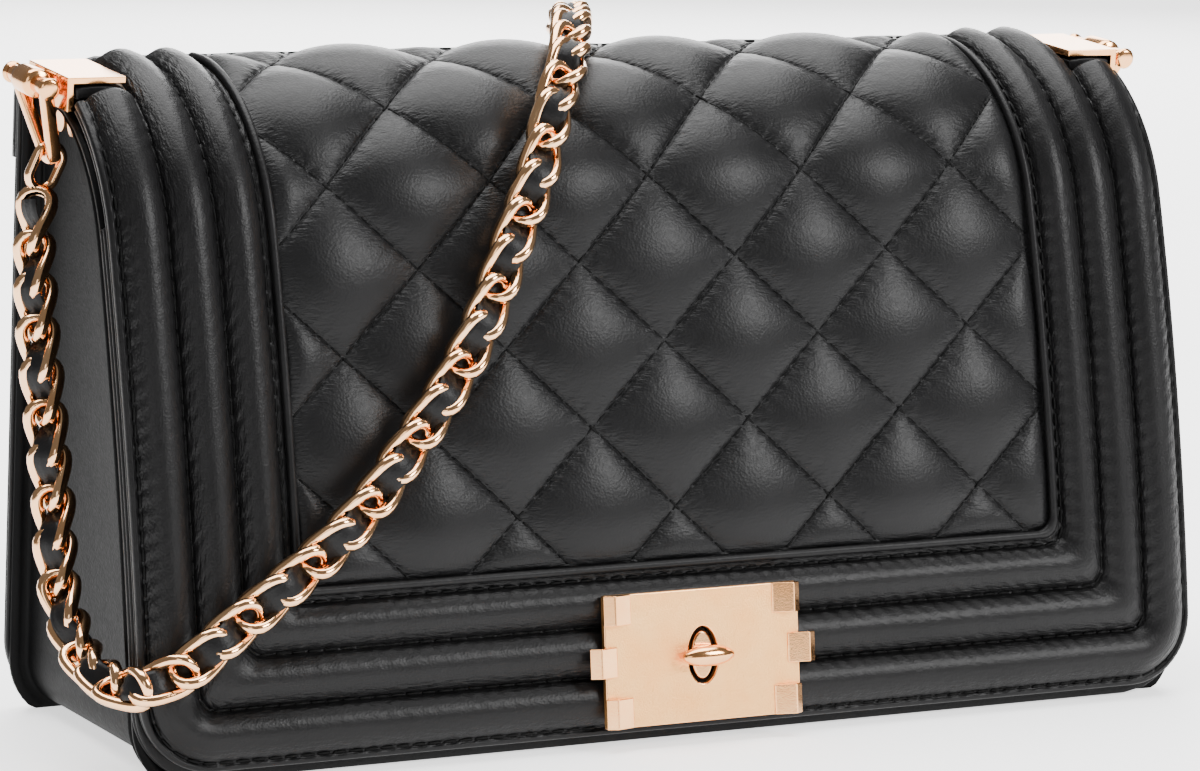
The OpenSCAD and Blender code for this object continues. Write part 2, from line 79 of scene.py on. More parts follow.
def skin(x, s, d):
    """Points at distance d outside the side outline, at width x and length s."""
    x, s, d = np.broadcast_arrays(*(np.asarray(v, float) for v in (x, s, d)))
    a = lean(s)
    low = s < LOWER_LEN
    y = np.where(
        low,
        -BODY_D / 2 + FRONT_R * (math.cos(LEAN_LOW) - np.cos(a)),
        LOWER_Y + BEND_R * (math.cos(LEAN_HIGH) - np.cos(a)) + np.maximum(0, s - BEND_END),
    )
    z = np.where(
        low,
        FRONT_R * (np.sin(a) - math.sin(LEAN_LOW)),
        LOWER_Z + BEND_R * (np.sin(a) - math.sin(LEAN_HIGH)),
    )
    return np.stack([x, y - d * np.cos(a), z + d * np.sin(a)], -1)


def back_y(z, d):
    """Front-to-back place of the back at height z, at distance d outside it."""
    return BODY_D / 2 - z * math.tan(BACK_LEAN) + d / math.cos(BACK_LEAN)


def run_length(*coordinates):
    """Length along a line of points, from its coordinates."""
    steps = np.sqrt(sum(np.diff(c) ** 2 for c in coordinates))
    return np.concatenate([[0], np.cumsum(steps)])


def interp_rows(at, run, rows):
    """Each column of rows, known at the lengths run, at other lengths."""
    return np.stack([np.interp(at, run, column) for column in rows.T], -1)


def grid_faces(rows, cols, wrap=False):
    """Quads over a grid of points, closed across its columns if wrap is true."""
    i, j = np.meshgrid(np.arange(rows - 1), np.arange(cols if wrap else cols - 1), indexing="ij")
    k = (j + 1) % cols
    quads = np.stack([i * cols + j, i * cols + k, (i + 1) * cols + k, (i + 1) * cols + j], -1)
    return quads.reshape(-1, 4)


def new_object(name, points, faces, material, smooth=True):
    """Makes a mesh object from points in millimetres."""
    mesh = bpy.data.meshes.new(name)
    mesh.from_pydata((np.asarray(points, float).reshape(-1, 3) * MM).tolist(), [], faces)
    mesh.polygons.foreach_set("use_smooth", [smooth] * len(mesh.polygons))
    mesh.materials.append(material)
    obj = bpy.data.objects.new(name, mesh)
    bpy.context.collection.objects.link(obj)
    return obj


def piece(name, points, faces, material, slot, uv=None, seam=None, flip=False):
    """A smooth piece, with its flat pattern and how near each point is to a seam."""
    faces = np.asarray(faces)[:, ::-1] if flip else np.asarray(faces)
    obj = new_object(name, points, faces.tolist(), material)
    mesh = obj.data
    if uv is not None:
        layer = mesh.uv_layers.new(name="flat")
        corners = np.zeros(len(mesh.loops), np.int32)
        mesh.loops.foreach_get("vertex_index", corners)
        layer.data.foreach_set("uv", (np.asarray(uv, float).reshape(-1, 2) * MM)[corners].ravel())
    if seam is not None:
        near = mesh.attributes.new("seam", "FLOAT", "POINT")
        near.data.foreach_set("value", np.asarray(seam, np.float32).ravel())
    return obj


def join(obj, body, *nodes):
    """Puts a piece on its body, in place of CAD nodes."""
    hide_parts(*nodes)
    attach(obj, body)


def round_edges(obj, width, degrees):
    rounding = obj.modifiers.new("rounding", "BEVEL")
    rounding.width = width * MM
    rounding.segments = 3
    rounding.limit_method = "ANGLE"
    rounding.angle_limit = math.radians(degrees)
    return rounding


def solid(obj, thickness, bevel=0.0, offset=-1.0, even=True):
    """Gives a sheet its thickness, and rounds its edges."""
    m = obj.modifiers.new("thickness", "SOLIDIFY")
    m.thickness = thickness * MM
    m.offset = offset
    m.use_even_offset = even
    if bevel:
        round_edges(obj, bevel, 40)
    return obj


# ---------------------------------------------------------------- materials
def set_inputs(node, **values):
    """Sets a node's own inputs by name, with _ for a space."""
    for name, value in values.items():
        node.inputs[name.replace("_", " ")].default_value = value
    return node


class Look:
    """A new material, and the nodes that give it colour, roughness and bumps."""

    def __init__(self, name):
        self.material = bpy.data.materials.new(name)
        self.material.use_nodes = True
        self.shader = self.material.node_tree.nodes["Principled BSDF"]
        self.place = self.node("TexCoord").outputs["Object"]
        self.normal = None

    def node(self, kind, **values):
        return set_inputs(self.material.node_tree.nodes.new("ShaderNode" + kind), **values)

    def link(self, source, socket):
        self.material.node_tree.links.new(source, socket)

    def noise(self, scale, detail, rough=0.55, place=None):
        n = self.node("TexNoise", Scale=scale, Detail=detail, Roughness=rough)
        self.link(self.place if place is None else place, n.inputs["Vector"])
        return n.outputs["Fac"]

    def colour(self, value, dark, pale):
        ramp = self.node("ValToRGB")
        for stop, place, tone in zip(ramp.color_ramp.elements, (0.3, 0.72), (dark, pale)):
            stop.position = place
            stop.color = (*tone, 1)
        self.link(value, ramp.inputs["Fac"])
        self.link(ramp.outputs["Color"], self.shader.inputs["Base Color"])

    def roughness(self, value, low, high):
        m = self.node("MapRange", From_Min=0.25, From_Max=0.75, To_Min=low, To_Max=high)
        self.link(value, m.inputs["Value"])
        self.link(m.outputs["Result"], self.shader.inputs["Roughness"])

    def bump(self, height, strength, distance):
        """Adds bumps to those that are there."""
        b = self.node("Bump", Strength=strength, Distance=distance)
        self.link(height, b.inputs["Height"])
        if self.normal is not None:
            self.link(self.normal, b.inputs["Normal"])
        self.normal = b.outputs["Normal"]
        self.link(self.normal, self.shader.inputs["Normal"])

    def product(self, a, b):
        m = self.node("Math")
        m.operation = "MULTIPLY"
        self.link(a, m.inputs[0])
        self.link(b, m.inputs[1])
        return m.outputs["Value"]


def leather(name, dark, pale, rough, crinkled=False, gloss=0.17):
    """Fine pebbled black leather, crinkled where a seam gathers it."""
    look = Look(name)
    cells = look.node("TexVoronoi")
    cells.feature = "SMOOTH_F1"
    set_inputs(cells, Scale=1700, Smoothness=0.35)
    look.link(look.place, cells.inputs["Vector"])
    look.colour(look.noise(55, 4), dark, pale)
    look.roughness(look.noise(900, 5), rough - 0.04, rough + 0.06)
    look.bump(cells.outputs["Distance"], 0.18, 0.00025)
    look.bump(look.noise(160, 4), 0.14, 0.0009)
    if crinkled:
        near = look.node("Attribute")
        near.attribute_name = "seam"
        flat = look.node("UVMap")
        flat.uv_map = "flat"
        turn = look.node("Mapping", Rotation=(0, 0, math.radians(32)), Scale=(420, 1500, 1))
        look.link(flat.outputs["UV"], turn.inputs["Vector"])
        folds = look.noise(1.0, 2, 0.6, turn.outputs["Vector"])
        look.bump(look.product(folds, near.outputs["Fac"]), 0.75, 0.0009)
    set_inputs(look.shader, Specular_IOR_Level=gloss, Coat_Weight=0.02, Coat_Roughness=0.25)
    return look.material


def metal(name, dark, pale, rough, grain):
    """Gold plating; grain is the strength of its sandblasted surface."""
    look = Look(name)
    look.colour(look.noise(120, 3), dark, pale)
    fine = look.noise(2600, 3)
    look.roughness(fine, rough * 0.85, rough * 1.2)
    look.bump(fine, grain, 0.0003)
    set_inputs(look.shader, Metallic=1.0)
    return look.material


def cloth(name, dark, pale):
    """Plain woven lining."""
    look = Look(name)
    ridges = []
    for axis in ("X", "Z"):
        threads = look.node("TexWave", Scale=420, Distortion=0.6)
        threads.bands_direction = axis
        look.link(look.place, threads.inputs["Vector"])
        ridges.append(threads.outputs["Fac"])
    broad = look.noise(60, 4)
    look.colour(broad, dark, pale)
    look.roughness(broad, 0.72, 0.88)
    look.bump(look.product(*ridges), 0.35, 0.0003)
    set_inputs(look.shader, Sheen_Weight=0.2, Sheen_Roughness=0.4)
    return look.material


BLACK, BLACK_PALE = (0.0035, 0.0034, 0.0036), (0.0065, 0.0063, 0.0066)
LEATHER = leather("leather_smooth", BLACK, BLACK_PALE, 0.43)
LEATHER_SEWN = leather("leather_sewn", BLACK, BLACK_PALE, 0.40, True)
LEATHER_QUILT = leather("leather_quilt", (0.0038, 0.0038, 0.0040), (0.0068, 0.0067, 0.0071), 0.40, True)
# Gussets: a darker, less glossy copy of the same leather, whose darker colour is painted shade on the sides
SHADED_SIDE_LEATHER = leather("side_leather_painted_shade", (0.0025, 0.0025, 0.0026), (0.0045, 0.0045, 0.0047), 0.5, gloss=0.05)
THREAD = leather("thread", (0.0015, 0.0015, 0.0015), (0.004, 0.004, 0.004), 0.6, gloss=0.08)
LINING = cloth("lining_cloth", (0.02, 0.02, 0.022), (0.035, 0.034, 0.037))
GOLD = metal("gold_polished", (0.93, 0.44, 0.17), (0.98, 0.53, 0.24), 0.15, 0.03)
GOLD_SATIN = metal("gold_satin", (0.98, 0.47, 0.15), (1.0, 0.55, 0.21), 0.38, 0.5)
GOLD_CHAIN = metal("gold_chain", (0.95, 0.52, 0.25), (1.0, 0.62, 0.34), 0.12, 0.02)
STEEL = metal("washer_steel", (0.5, 0.5, 0.5), (0.62, 0.62, 0.62), 0.3, 0.1)
BOARD = cloth("stiff_board", (0.16, 0.12, 0.085), (0.24, 0.19, 0.14))
# Materials, each paired with a slot name.
SMOOTH = (LEATHER, "leather_smooth")
CLOTH = (LINING, "lining_cloth")
POLISHED = (GOLD, "gold_polished")


# ---------------------------------------------------------------- camera
CAMERA_AT = (-0.4994, -0.9885, 0.2455)          # metres
CAMERA_TURN = (-26.71, 8.89, -1.02)             # azimuth, elevation and roll, in degrees
CAMERA_LENS = 148.5


def place_camera():
    azimuth, elevation, roll = (math.radians(a) for a in CAMERA_TURN)
    out = Vector((
        math.sin(azimuth) * math.cos(elevation),
        -math.cos(azimuth) * math.cos(elevation),
        math.sin(elevation),
    ))
    right = (-out).cross(Vector((0, 0, 1))).normalized()
    down = (-out).cross(right)
    right_turned = math.cos(roll) * right + math.sin(roll) * down
    down_turned = -math.sin(roll) * right + math.cos(roll) * down
    data = bpy.data.cameras.new("camera")
    data.lens = CAMERA_LENS
    data.sensor_width = 36
    data.clip_start = 0.01
    camera = bpy.data.objects.new("camera", data)
    turn = Matrix((right_turned, -down_turned, out)).transposed()
    camera.matrix_world = Matrix.Translation(CAMERA_AT) @ turn.to_4x4()
    bpy.context.collection.objects.link(camera)
    bpy.context.scene.camera = camera


place_camera()

# ---------------------------------------------------------------- strap
# Route points, each with the direction that the chain's face looks.
FRONT_ROUTE = [
    (-133.8, 11, 118, -9, -2, 0), (-135, 9, 109, -9, -3, 0), (-136, 4, 93, -8, -5, 0),
    (-136, -1, 73, -8, -5, 0), (-136, -6, 53, -8, -5, 0), (-137, -12, 38, -8, -5, 0),
    (-137, -21, 29, -8, -5, 2), (-137, -36, 24, -7, -6, 5), (-134.5, -49, 23.5, -5, -8, 5),
    (-125, -54.5, 27, -2, -9, 3), (-112, -53.5, 35.5, -1, -9, 2), (-98, -52, 44.5, 0, -9, 1),
    (-85, -50, 54, 0, -9, 1), (-72, -47, 67, 0, -9, 2), (-60, -44, 81, 0, -9, 2),
    (-50, -41, 96, 0, -9, 2), (-42, -37, 111, 0, -9, 3), (-34, -32, 125, 0, -9, 4),
    (-26, -24, 139, 0, -7, 6), (-16, -10, 150, 0, -4, 9), (-8, 6, 155, 0, -1, 9),
    (0, 22, 155.5, 0, 1, 9),
]
BACK_ROUTE = [
    (0, 22, 155.5, 0, 1, 9), (5, 35, 152, 0, 5, 8), (9, 44, 142, 0, 9, 3),
    (12, 48, 122, 0, 9, 0), (14, 50, 95, 0, 9, 0), (15, 52, 65, 0, 9, 0),
    (14, 54, 35, 0, 9, 1), (8, 59, 12, 0, 6, 6), (-8, 62, 4.5, 0, 1, 9),
    (-35, 63, 4.5, 0, 0, 9), (-62, 64, 4.5, 0, 0, 9), (-78, 71, 4.5, 0, 0, 9),
    (-78, 86, 4.5, 0, 0, 9), (-62, 93, 4.5, 0, 0, 9), (-30, 94, 4.5, 0, 0, 9),
    (10, 94, 4.5, 0, 0, 9), (50, 93, 4.5, 0, 0, 9), (90, 88, 4.5, 0, 0, 9),
    (120, 76, 4.5, 0, 0, 9), (138, 56, 7, 3, 0, 9), (142, 34, 18, 8, 1, 5),
    (140, 20, 42, 9, 0, 1), (137.5, 12, 72, 9, 0, 0), (135.5, 10, 98, 9, 0, 0),
    (133.8, 11, 118, 9, 0, 0),
]
PITCH = 9.3            # from link to link
LINK_HALF = (6.9, 3.85)
LINK_TWIST = 1.9       # how far a link's corners stand out of its plane
WIRE_HALF = (1.3, 1.5)
RIBBON_HALF = (2.9, 0.75)
RIBBON_STEP = 0.9
RIBBON_SIDES = 20
WEAVE = 1.9            # how far the ribbon swings to each side of the chain's middle
NESTLE = 1.2           # how much closer the chain lies than the plain tube of the CAD


def unit(v):
    return v / np.linalg.norm(v, axis=-1, keepdims=True)


def smooth_route(route, step=0.5):
    """Evenly spaced points on a smooth curve through the route, with face directions."""
    pts = np.array(route, float)
    pts[:, 3:] = unit(pts[:, 3:])
    off_floor = np.clip((pts[:, 2:3] - 5) / 10, 0, 1)
    pts[:, :3] -= NESTLE * off_floor * pts[:, 3:]
    padded = np.vstack([pts[0], pts, pts[-1]])
    t = np.linspace(0, 1, 24, endpoint=False)[:, None]
    parts = []
    for i in range(len(pts) - 1):
        a, b, c, e = padded[i:i + 4]
        parts.append(0.5 * (2 * b + (c - a) * t + (2 * a - 5 * b + 4 * c - e) * t**2
                            + (3 * b - a - 3 * c + e) * t**3))
    dense = np.vstack([*parts, pts[-1:]])
    length = run_length(*dense[:, :3].T)
    at = np.linspace(0, length[-1], int(length[-1] / step) + 1)
    even = interp_rows(at, length, dense)
    return at, even[:, :3], even[:, 3:]


def frames(points, faces):
    """Along, across and face direction at each point."""
    along = unit(np.gradient(points, axis=0))
    face = unit(faces - (faces * along).sum(-1, keepdims=True) * along)
    return along, np.cross(face, along), face


def strap(name, route, nodes, exit_first):
    """The chain and its ribbon along a route; exit_first only turns round a path that nothing uses."""
    at, points, faces = smooth_route(route)
    along, across, face = frames(points, faces)
    total = at[-1]

    def where(u):
        return [interp_rows(u, at, v) for v in (points, along, across, face)]

    # Links: saddle-shaped loops of flattened wire, each turned a little like hand-closed links.
    count = int(round(total / PITCH))
    pitch = total / count
    ring, sides = 30, 9
    angle = np.linspace(0, 2 * math.pi, ring, endpoint=False)
    loop = np.stack([LINK_HALF[0] * np.cos(angle), LINK_HALF[1] * np.sin(angle)
                     * (1 + 0.10 * np.cos(2 * angle)), LINK_TWIST * np.sin(2 * angle)], -1)
    loop_along = unit(np.roll(loop, -1, 0) - np.roll(loop, 1, 0))
    outward = unit(loop * [1, 1.6, 0])
    outward = unit(outward - (outward * loop_along).sum(-1, keepdims=True) * loop_along)
    upward = np.cross(loop_along, outward)
    round_angle = np.linspace(0, 2 * math.pi, sides, endpoint=False)
    section = np.stack([WIRE_HALF[0] * np.cos(round_angle), WIRE_HALF[1] * np.sin(round_angle)], -1)
    tube = (loop[:, None] + section[None, :, :1] * outward[:, None]
            + section[None, :, 1:] * upward[:, None]).reshape(-1, 3)
    tube_faces = grid_faces(ring + 1, sides, True) % (ring * sides)
    verts, quads = [], []
    for i in range(count):
        wobble = random.normal(0, 1, 4)
        u = np.clip((i + 0.5) * pitch + 0.12 * wobble[3], 0, total)
        c, a, w, f = where(u)
        turn = 0.05 * wobble[0]
        w, f = math.cos(turn) * w + math.sin(turn) * f, math.cos(turn) * f - math.sin(turn) * w
        local = np.stack([a, w, f])
        verts.append(tube @ local + c + 0.15 * wobble[1] * w)
        quads.append(tube_faces + i * len(tube))
    links = piece(name + "_links", np.vstack(verts), np.vstack(quads), GOLD_CHAIN, "strap")

    # Ribbon: a strip with three ridges, woven over one link and under the next.
    u = np.linspace(0, total, int(total / RIBBON_STEP))
    c, a, w, f = where(u)
    swing = np.cos(math.pi * u / pitch)
    weave = WEAVE * np.sign(swing) * np.abs(swing) ** 0.7 + 0.35
    around = np.linspace(0, 2 * math.pi, RIBBON_SIDES, endpoint=False)
    ridges = 1 + 0.28 * np.cos(np.cos(around) * 3 * math.pi)
    wide = RIBBON_HALF[0] * np.cos(around)
    thick = RIBBON_HALF[1] * np.sin(around) * ridges
    swell = 1 + 0.05 * np.sin(u[:, None] * 0.7 + 1.0)
    strip = (c[:, None] + (wide * swell)[..., None] * w[:, None]
             + (thick[None] + weave[:, None])[..., None] * f[:, None])
    strip_faces = grid_faces(len(u), RIBBON_SIDES, True)
    ribbon = piece(name + "_ribbon", strip, strip_faces, LEATHER, "strap", flip=True)
    path = points[::4] * MM
    if np.linalg.norm(path[-1] - points[-1] * MM) > 1e-6:
        path = np.vstack([path, points[-1:] * MM])
    if not exit_first:
        path = path[::-1]
    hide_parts(*nodes)
    return links, ribbon


front_pieces = strap("strap_front", FRONT_ROUTE, ["strap_front"], True)
back_pieces = strap("strap_back", BACK_ROUTE, ["strap_back"], False)
for obj in front_pieces:
    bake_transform(obj)
for obj in back_pieces:
    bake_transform(obj)


# ---------------------------------------------------------------- flap
SEAMS = (2.0, 12.9, 23.8, 34.0)      # stitch rows, from the flap's edge
STITCH = 3.7
LATTICE_X, LATTICE_S = -60.16, 105.7         # a crossing of the quilt's stitch lines
STEP_X, STEP_S = 19.29, 18.16                # from there to the next crossings' places
QUILT_EDGE = 36.9
LOCK_S = 18.8
HOLE = (3.7, 6.3)
NOTCH_Y = -3.1                               # where the flap is cut back for the brackets
NOTCH_X = 116.6


def hinge_blend(obj):
    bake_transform(obj)
    return obj


def s_at_y(y):
    s = np.linspace(0, 200, 4001)
    return float(np.interp(y, skin(0, s, 0)[:, 1], s))


def u_contour(e, top, side=228, arc=14, bottom=330):
    """Points (x, s) of the U at distance e inside the flap's edge, left end to right end."""
    e = np.asarray(e, float)[None, :]
    r = np.maximum(CORNER_R - e, 4.0)
    half, base = HALF_W - e, FLAP_START + e
    down = np.linspace(0, 1, side, endpoint=False)[:, None]
    left_s = top + (base + r - top) * down
    left_x = np.broadcast_to(-half, left_s.shape)
    turn = np.linspace(0, math.pi / 2, arc, endpoint=False)[:, None]
    arc_x = -half + r - r * np.cos(turn)
    arc_s = base + r - r * np.sin(turn)
    across = np.linspace(0, 0.5, bottom // 2)[:, None]
    bottom_x = -half + r + (2 * half - 2 * r) * across
    bottom_s = np.broadcast_to(base, bottom_x.shape)
    x = np.vstack([left_x, arc_x, bottom_x])
    s = np.vstack([left_s, arc_s, bottom_s])
    return np.vstack([x, -x[-2::-1]]), np.vstack([s, s[-2::-1]])


STITCH_RANDOM = random.uniform(0.35, 1.0, (8, 400))


def rib_height(e, run):
    """Height of the padded border above its flat leather, with puckers next to the stitches."""
    e, run = np.broadcast_arrays(e, run)
    h = np.zeros(e.shape)
    for k in range(3):
        u = np.clip((e - SEAMS[k]) / (SEAMS[k + 1] - SEAMS[k]), 0, 1)
        h += 3.1 * np.sin(math.pi * u) ** 0.72 * (u > 0) * (u < 1)
    for k, seam in enumerate(SEAMS):
        away = e - seam
        index = np.clip((run / STITCH).astype(int), 0, 399)
        puckers = np.sin(2 * math.pi * run / STITCH + 1.1 * away)
        h += 0.27 * STITCH_RANDOM[k][index] * puckers * np.exp(-np.abs(away) / 1.5)
        h -= 0.35 * np.exp(-(away / 0.45) ** 2)
    return h


def seam_weight(e):
    e = np.asarray(e, float)
    w = np.zeros(e.shape)
    for seam in SEAMS:
        away = e - seam
        w = np.maximum(w, np.where(away > 0, np.exp(-away / 2.4), np.exp(away / 1.0)))
    return w


def in_lock_hole(x, s, grow=0.0):
    return (x / (HOLE[0] + grow)) ** 2 + ((s - LOCK_S) / (HOLE[1] + grow)) ** 2 < 1


def border_piece(name, columns, top, nodes, material=None, taper=3.2):
    """Sweeps (distance from the edge, distance outside the body, 1 where padded) round the U."""
    e, d, pad = np.array(columns, float).T
    x, s = u_contour(e, top)
    run = run_length(x[:, -1], s[:, -1])[:, None]
    # The padding runs out smoothly at both ends.
    end = np.clip((top - s) / taper, 0, 1)
    end = np.sqrt(1 - (1 - end) ** 2)
    rise = 0.9 * np.clip((s - 128) / 25, 0, 1) * (taper < 1)
    h = d + pad * ((rib_height(e[None], run) + rise) * end)
    points = skin(x, s, h)
    faces = grid_faces(*x.shape)
    mid_x, mid_s = (v.ravel()[faces].mean(1) for v in (x, s))
    faces = faces[~in_lock_hole(mid_x, mid_s)]
    uv = np.stack([np.broadcast_to(run, x.shape), np.broadcast_to(e[None], x.shape)], -1)
    seam = np.broadcast_to((seam_weight(e) * pad)[None], x.shape)
    obj = piece(name, points, faces, material or LEATHER_SEWN, "leather_smooth", uv, seam)
    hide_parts(*nodes)
    return hinge_blend(obj)


# Rolled edge of the flap: the lining's layer below and the leather's layer above.
EDGE = [(3.5, 0.5, 0), (1.0, 0.5, 0), (0.55, 0.58, 0), (0.3, 0.8, 0), (0.22, 1.15, 0), (0.3, 1.5, 0),
        (0.6, 1.72, 0), (0.75, 1.85, 0), (0.6, 1.98, 0), (0.25, 2.1, 0), (0.03, 2.4, 0), (0, 2.85, 0),
        (0.05, 3.3, 0), (0.25, 3.65, 0), (0.6, 3.86, 0), (1.0, 3.92, 0)]
SPLIT = 13.2          # where the border's outer rib and its two inner ribs meet
outer = EDGE + [(e, COVER_D, 1) for e in np.linspace(1.35, SPLIT, 40)]
inner = [(SPLIT, 3.2, 0)] + [(e, COVER_D, 1) for e in np.linspace(SPLIT + 0.05, 35.2, 70)]
inner += [(35.6, 3.6, 0), (36.2, 3.0, 0)]
notch_s = s_at_y(NOTCH_Y)
border_outer = border_piece("flap_border_outer", outer, notch_s, ["border_panel", "rib_outer"], taper=0.7)
border_inner = border_piece("flap_border_inner", inner, PAD_END, ["rib_middle", "rib_inner"])
bead = [(36.3 + 0.95 * math.cos(a), 4.55 + 0.95 * math.sin(a), 0) for a in np.linspace(3.9, -0.8, 15)]
border_piece("flap_piping", bead, PAD_END, ["inner_piping"], LEATHER)


def quilt_height(x, s):
    """Height of the quilt outside the side outline, and how near each point is to a seam."""
    p = (x - LATTICE_X) / STEP_X
    q = (s - LATTICE_S) / STEP_S
    a, b = (p + q) / 2, (p - q) / 2
    near_a, near_b = np.abs(np.sin(math.pi * a)), np.abs(np.sin(math.pi * b))
    full = (near_a * near_b) ** 0.50
    cell = (np.floor(a).astype(int) * 7 + np.floor(b).astype(int) * 13) % 97
    full = full * (1 + 0.05 * np.sin(cell * 2.7))
    edge = np.minimum(np.minimum(HALF_W - QUILT_EDGE - np.abs(x), s - FLAP_START - QUILT_EDGE),
                      (PAD_END - s) * 2.2)
    edge = np.clip(edge, 0, None)
    fade = 1 - np.exp(-edge / 2.6)
    size = math.hypot(STEP_X, STEP_S)
    turn = np.minimum(np.arcsin(near_a), np.arcsin(near_b)) / math.pi
    away = turn * 2 * STEP_X * STEP_S / size
    along = np.where(near_a < near_b, b, a) * size
    weight = np.exp(-away / 1.7)
    pucker = 0.13 * np.sin(2 * math.pi * along / STITCH) * weight
    lift = 0.8 * np.clip((s - 118) / 34, 0, 1) * np.clip((PAD_END - s) / 4, 0, 1)
    return 3.1 + lift + 3.7 * full * fade + pucker * fade, np.maximum(weight, np.exp(-edge / 2.0) * 0.7)


def lattice_line(origin, step, low, high):
    """Places from low to high that fall on the lattice, and its two ends."""
    inside = origin + step * np.arange(-600, 600)
    return np.concatenate([[low], inside[(inside > low + 0.2) & (inside < high - 0.2)], [high]])


def quilt():
    parts, edge = 28, QUILT_EDGE - 0.5
    xs = lattice_line(LATTICE_X, STEP_X / parts, -HALF_W + edge, HALF_W - edge)
    ss = lattice_line(LATTICE_S, STEP_S / parts, FLAP_START + edge, PAD_END)
    x, s = np.meshgrid(xs, ss, indexing="xy")
    h, seam = quilt_height(x, s)
    quads = grid_faces(*x.shape)
    mid_x, mid_s = (v.ravel()[quads].mean(1) for v in (x, s))
    p, q = (mid_x - LATTICE_X) / STEP_X, (mid_s - LATTICE_S) / STEP_S
    rising = np.abs(np.sin(math.pi * (p - q) / 2)) < np.abs(np.sin(math.pi * (p + q) / 2))
    split = np.where(rising[:, None], quads[:, [0, 1, 2, 0, 2, 3]], quads[:, [1, 2, 3, 1, 3, 0]])
    obj = piece("flap_quilt", skin(x, s, h), split.reshape(-1, 3), LEATHER_QUILT, "leather_quilted",
                np.stack([x, s], -1), seam)
    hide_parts("quilted_panel")
    return hinge_blend(obj)


quilt()


# ---------------------------------------------------------------- stitches
def capsules(name, centres, along, up, slot, length=2.9, radius=0.36, material=None):
    """One thread stitch at each centre."""
    rings = [(-0.5, 0.25), (-0.42, 0.8), (0, 1.0), (0.42, 0.8), (0.5, 0.25)]
    sides = 6
    turn = np.linspace(0, 2 * math.pi, sides, endpoint=False)
    local = np.array([[t * length, radius * w * math.cos(a), radius * w * math.sin(a)]
                      for t, w in rings for a in turn])
    along = unit(along)
    up = unit(up - (up * along).sum(-1, keepdims=True) * along)
    axes = np.stack([along, np.cross(up, along), up], 1)
    verts = np.einsum("vk,nkj->nvj", local, axes) + centres[:, None]
    base = grid_faces(len(rings), sides, True)
    faces = (base[None] + (np.arange(len(centres)) * len(local))[:, None, None]).reshape(-1, 4)
    return piece(name, verts, faces, material or THREAD, slot)


def row_on(path_points, ups, step=STITCH):
    """Stitch centres, directions and ups, evenly along a path."""
    run = run_length(*path_points.T)
    at = np.arange(step / 2, run[-1], step)
    ahead, behind = (interp_rows(at + shift, run, path_points) for shift in (0.8, -0.8))
    return interp_rows(at, run, path_points), ahead - behind, interp_rows(at, run, ups)


def outward(s):
    a = lean(s)
    return np.stack([np.zeros_like(a), -np.cos(a), np.sin(a)], -1)


def flap_stitches():
    rows = []
    for seam in SEAMS:
        top = (notch_s if seam < SPLIT else PAD_END) - 3.0
        x, s = (v[:, 0] for v in u_contour([seam], top))
        rows.append(row_on(skin(x, s, COVER_D + 0.06), outward(s)))
    joined = [np.vstack(part) for part in zip(*rows)]
    # The lock's plate hides the stitches under it.
    covered = (np.abs(joined[0][:, 0]) < 23.5) & (joined[0][:, 2] < 33.5)
    obj = capsules("flap_border_stitches", *[v[~covered] for v in joined], "leather_smooth")
    hinge_blend(obj)
    rows = []
    low, high = FLAP_START + QUILT_EDGE + 0.8, PAD_END - 2.0
    reach = HALF_W - QUILT_EDGE - 0.8
    for family in (1, -1):
        for k in range(-30, 31, 2):
            # Line p + family * q = k, drawn over the panel and kept where it is inside.
            s = np.linspace(low, high, 400)
            p = k - family * (s - LATTICE_S) / STEP_S
            x = LATTICE_X + p * STEP_X
            keep = np.abs(x) < reach
            if keep.sum() > 12:
                x, s = x[keep], s[keep]
                h = quilt_height(x, s)[0]
                rows.append(row_on(skin(x, s, h + 0.02), outward(s)))
    joined = [np.vstack(part) for part in zip(*rows)]
    obj = capsules("flap_quilt_stitches", *joined, "leather_quilted", length=3.1, radius=0.4)
    hinge_blend(obj)


flap_stitches()


# ---------------------------------------------------------------- top of the flap and its underside
def leather_panel(name, place, size, thickness, material, slot, hole=None, flip=False):
    """A panel of size (half width, corner radius, low, high); place(x, v) gives its points."""
    half, corner, low, high = size
    v = np.concatenate([
        np.linspace(low, low + corner, 14, endpoint=False),
        np.linspace(low + corner, high, 60),
    ])
    rise = np.clip((v - low) / corner, 0, 1)
    width = half - corner + corner * np.sqrt(1 - (1 - rise) ** 2)
    x = width[:, None] * np.linspace(-1, 1, 60)[None]
    v = np.broadcast_to(v[:, None], x.shape)
    faces = grid_faces(*x.shape)
    if hole is not None:
        mid_x, mid_v = (w.ravel()[faces].mean(1) for w in (x, v))
        faces = faces[~hole(mid_x, mid_v)]
    obj = piece(name, place(x, v), faces, material, slot, np.stack([x, v], -1), flip=flip)
    return solid(obj, thickness, min(0.45, thickness * 0.45), 0.0, False)


YOKE_Y = (20.2, 23.4)      # where the hinge leather starts, and where it grows to the full width
YOKE_R = 7.0
YOKE_LOW = 125.0
YOKE_D = 2.3
YOKE_HALF = 116.4          # half width between the brackets


def yoke_profile():
    """Side outline of the hinge leather, from its front edge over the top and down the back."""
    top = HINGE_Z + 0.45
    corner_y = float(back_y(top - YOKE_R, YOKE_D)) - YOKE_R
    pts = [(y, top) for y in np.linspace(YOKE_Y[0], YOKE_Y[1] - 0.05, 5)]
    pts += [(y, top) for y in np.linspace(YOKE_Y[1], corner_y, 24, endpoint=False)]
    pts += [(corner_y + YOKE_R * math.sin(a), top - YOKE_R + YOKE_R * math.cos(a))
            for a in np.linspace(0, math.pi / 2 - BACK_LEAN, 12)]
    pts += [(float(back_y(z, YOKE_D)), z) for z in np.linspace(top - YOKE_R - 1, YOKE_LOW, 12)]
    return np.array(pts)


